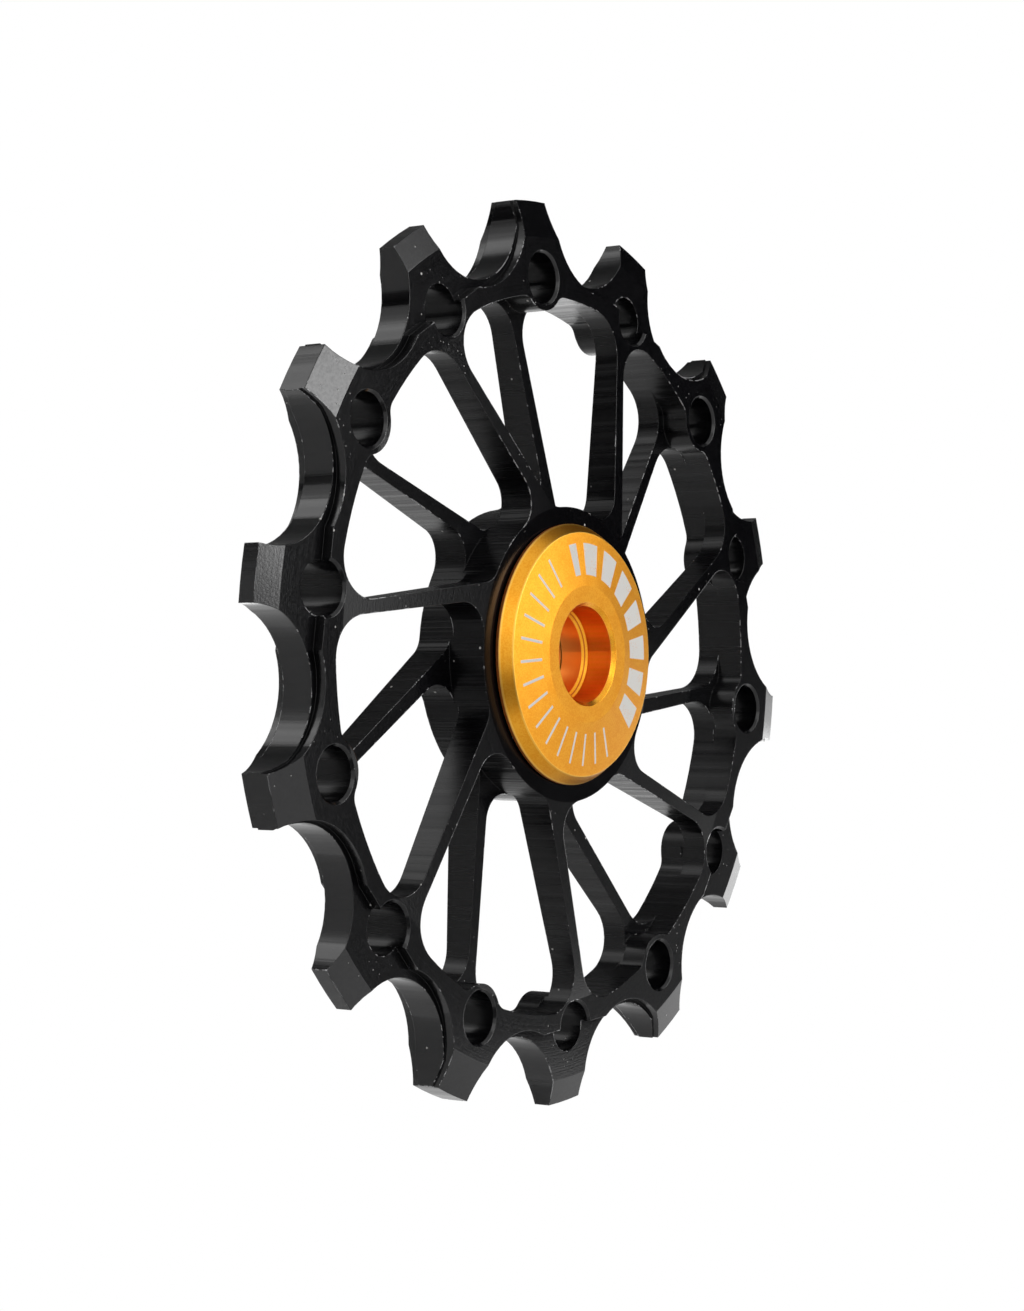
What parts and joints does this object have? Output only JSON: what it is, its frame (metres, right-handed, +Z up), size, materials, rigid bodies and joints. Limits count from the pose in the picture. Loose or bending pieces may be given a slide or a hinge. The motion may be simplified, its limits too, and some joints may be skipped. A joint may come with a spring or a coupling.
{
  "type": "derailleur jockey wheel",
  "caption": "Narrow-wide toothed chain pulley with leaning spokes milled from both faces, a sealed ball bearing in its hub and stepped caps that clamp on an axle bolt.",
  "frame": {"origin": "middle of the axle bore, on the wheel's middle plane", "axes": "+Y along the axle, from the front cap to the rear cap; +Z up, through the middle of a wide tooth"},
  "size_m": [0.0578, 0.0078, 0.0586],
  "materials": {
    "black_anodised_aluminium": "satin black anodised",
    "gold_anodised_aluminium": "satin gold anodised",
    "bearing_steel": "ground",
    "ball_steel": "polished",
    "cage_nylon": "moulded",
    "seal_rubber": "matte"
  },
  "bodies": {
    "axle": {"front_cap": "gold_anodised_aluminium", "rear_cap": "gold_anodised_aluminium", "bearing_inner_race": "bearing_steel"},
    "wheel": {"toothed_wheel": "black_anodised_aluminium", "bearing_outer_race": "bearing_steel", "front_seal": "seal_rubber", "rear_seal": "seal_rubber"},
    "cage": {"ball_cage": "cage_nylon"},
    "ball_1_body": {"ball_1": "ball_steel"},
    "ball_2_body": {"ball_2": "ball_steel"},
    "ball_3_body": {"ball_3": "ball_steel"},
    "ball_4_body": {"ball_4": "ball_steel"},
    "ball_5_body": {"ball_5": "ball_steel"},
    "ball_6_body": {"ball_6": "ball_steel"},
    "ball_7_body": {"ball_7": "ball_steel"},
    "ball_8_body": {"ball_8": "ball_steel"},
    "ball_9_body": {"ball_9": "ball_steel"}
  },
  "joints": [
    {"name": "wheel_spin", "type": "hinge", "parent": "axle", "child": "wheel", "pos_m": [0, 0, 0], "axis": [0, 1, 0], "continuous": true},
    {"name": "cage_spin", "type": "hinge", "parent": "axle", "child": "cage", "pos_m": [0, 0, 0], "axis": [0, 1, 0], "continuous": true},
    {"name": "ball_1_roll", "type": "hinge", "parent": "cage", "child": "ball_1_body", "pos_m": [0, 0, 0.006], "axis": [0, 1, 0], "continuous": true},
    {"name": "ball_2_roll", "type": "hinge", "parent": "cage", "child": "ball_2_body", "pos_m": [-0.00386, 0, 0.0046], "axis": [0, 1, 0], "continuous": true},
    {"name": "ball_3_roll", "type": "hinge", "parent": "cage", "child": "ball_3_body", "pos_m": [-0.00591, 0, 0.00104], "axis": [0, 1, 0], "continuous": true},
    {"name": "ball_4_roll", "type": "hinge", "parent": "cage", "child": "ball_4_body", "pos_m": [-0.0052, 0, -0.003], "axis": [0, 1, 0], "continuous": true},
    {"name": "ball_5_roll", "type": "hinge", "parent": "cage", "child": "ball_5_body", "pos_m": [-0.00205, 0, -0.00564], "axis": [0, 1, 0], "continuous": true},
    {"name": "ball_6_roll", "type": "hinge", "parent": "cage", "child": "ball_6_body", "pos_m": [0.00205, 0, -0.00564], "axis": [0, 1, 0], "continuous": true},
    {"name": "ball_7_roll", "type": "hinge", "parent": "cage", "child": "ball_7_body", "pos_m": [0.0052, 0, -0.003], "axis": [0, 1, 0], "continuous": true},
    {"name": "ball_8_roll", "type": "hinge", "parent": "cage", "child": "ball_8_body", "pos_m": [0.00591, 0, 0.00104], "axis": [0, 1, 0], "continuous": true},
    {"name": "ball_9_roll", "type": "hinge", "parent": "cage", "child": "ball_9_body", "pos_m": [0.00386, 0, 0.0046], "axis": [0, 1, 0], "continuous": true}
  ],
  "couplings": [
    {"joint": "cage_spin", "follows": "wheel_spin", "ratio": 0.58333},
    {"joint": "ball_1_roll", "follows": "wheel_spin", "ratio": 2.9167},
    {"joint": "ball_2_roll", "follows": "wheel_spin", "ratio": 2.9167},
    {"joint": "ball_3_roll", "follows": "wheel_spin", "ratio": 2.9167},
    {"joint": "ball_4_roll", "follows": "wheel_spin", "ratio": 2.9167},
    {"joint": "ball_5_roll", "follows": "wheel_spin", "ratio": 2.9167},
    {"joint": "ball_6_roll", "follows": "wheel_spin", "ratio": 2.9167},
    {"joint": "ball_7_roll", "follows": "wheel_spin", "ratio": 2.9167},
    {"joint": "ball_8_roll", "follows": "wheel_spin", "ratio": 2.9167},
    {"joint": "ball_9_roll", "follows": "wheel_spin", "ratio": 2.9167}
  ]
}
